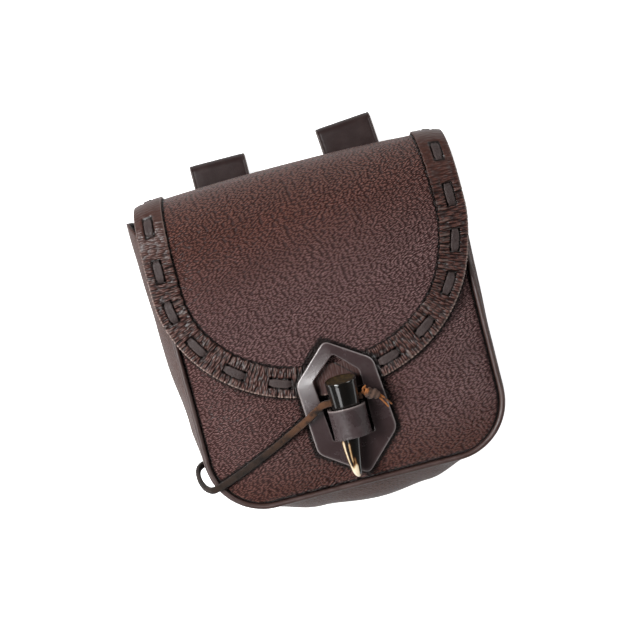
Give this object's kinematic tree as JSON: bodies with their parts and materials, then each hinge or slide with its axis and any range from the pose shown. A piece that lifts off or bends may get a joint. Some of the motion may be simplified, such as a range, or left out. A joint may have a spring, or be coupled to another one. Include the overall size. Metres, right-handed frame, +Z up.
{
  "type": "belt pouch",
  "caption": "Leather belt pouch with a rounded flap laced round its edge, a hexagonal closure plate, and a horn toggle on a thong held by a leather keeper.",
  "frame": {"origin": "on the surface it lies on, under the middle of the pouch without its thong and knot", "axes": "+Z up, out of the pouch's front; +Y towards the belt loops; +X to the right seen from the front"},
  "size_m": [0.1814, 0.2078, 0.0771],
  "materials": {
    "pebbled_leather": "pebbled, semi-matt",
    "smooth_leather": "smooth, satin",
    "lace_leather": "matt",
    "thong_leather": "suede",
    "horn": "polished horn"
  },
  "bodies": {
    "root": {"front_panel": "pebbled_leather", "back_panel": "pebbled_leather", "gusset": "pebbled_leather", "front_piping": "smooth_leather", "flap": "pebbled_leather", "flap_border": "pebbled_leather", "border_lace": "lace_leather", "closure_plate": "smooth_leather", "keeper_loop": "smooth_leather", "horn_toggle": "horn", "thong": "thong_leather", "thong_knot": "thong_leather", "belt_loop_left": "smooth_leather", "belt_loop_right": "smooth_leather"}
  },
  "joints": []
}
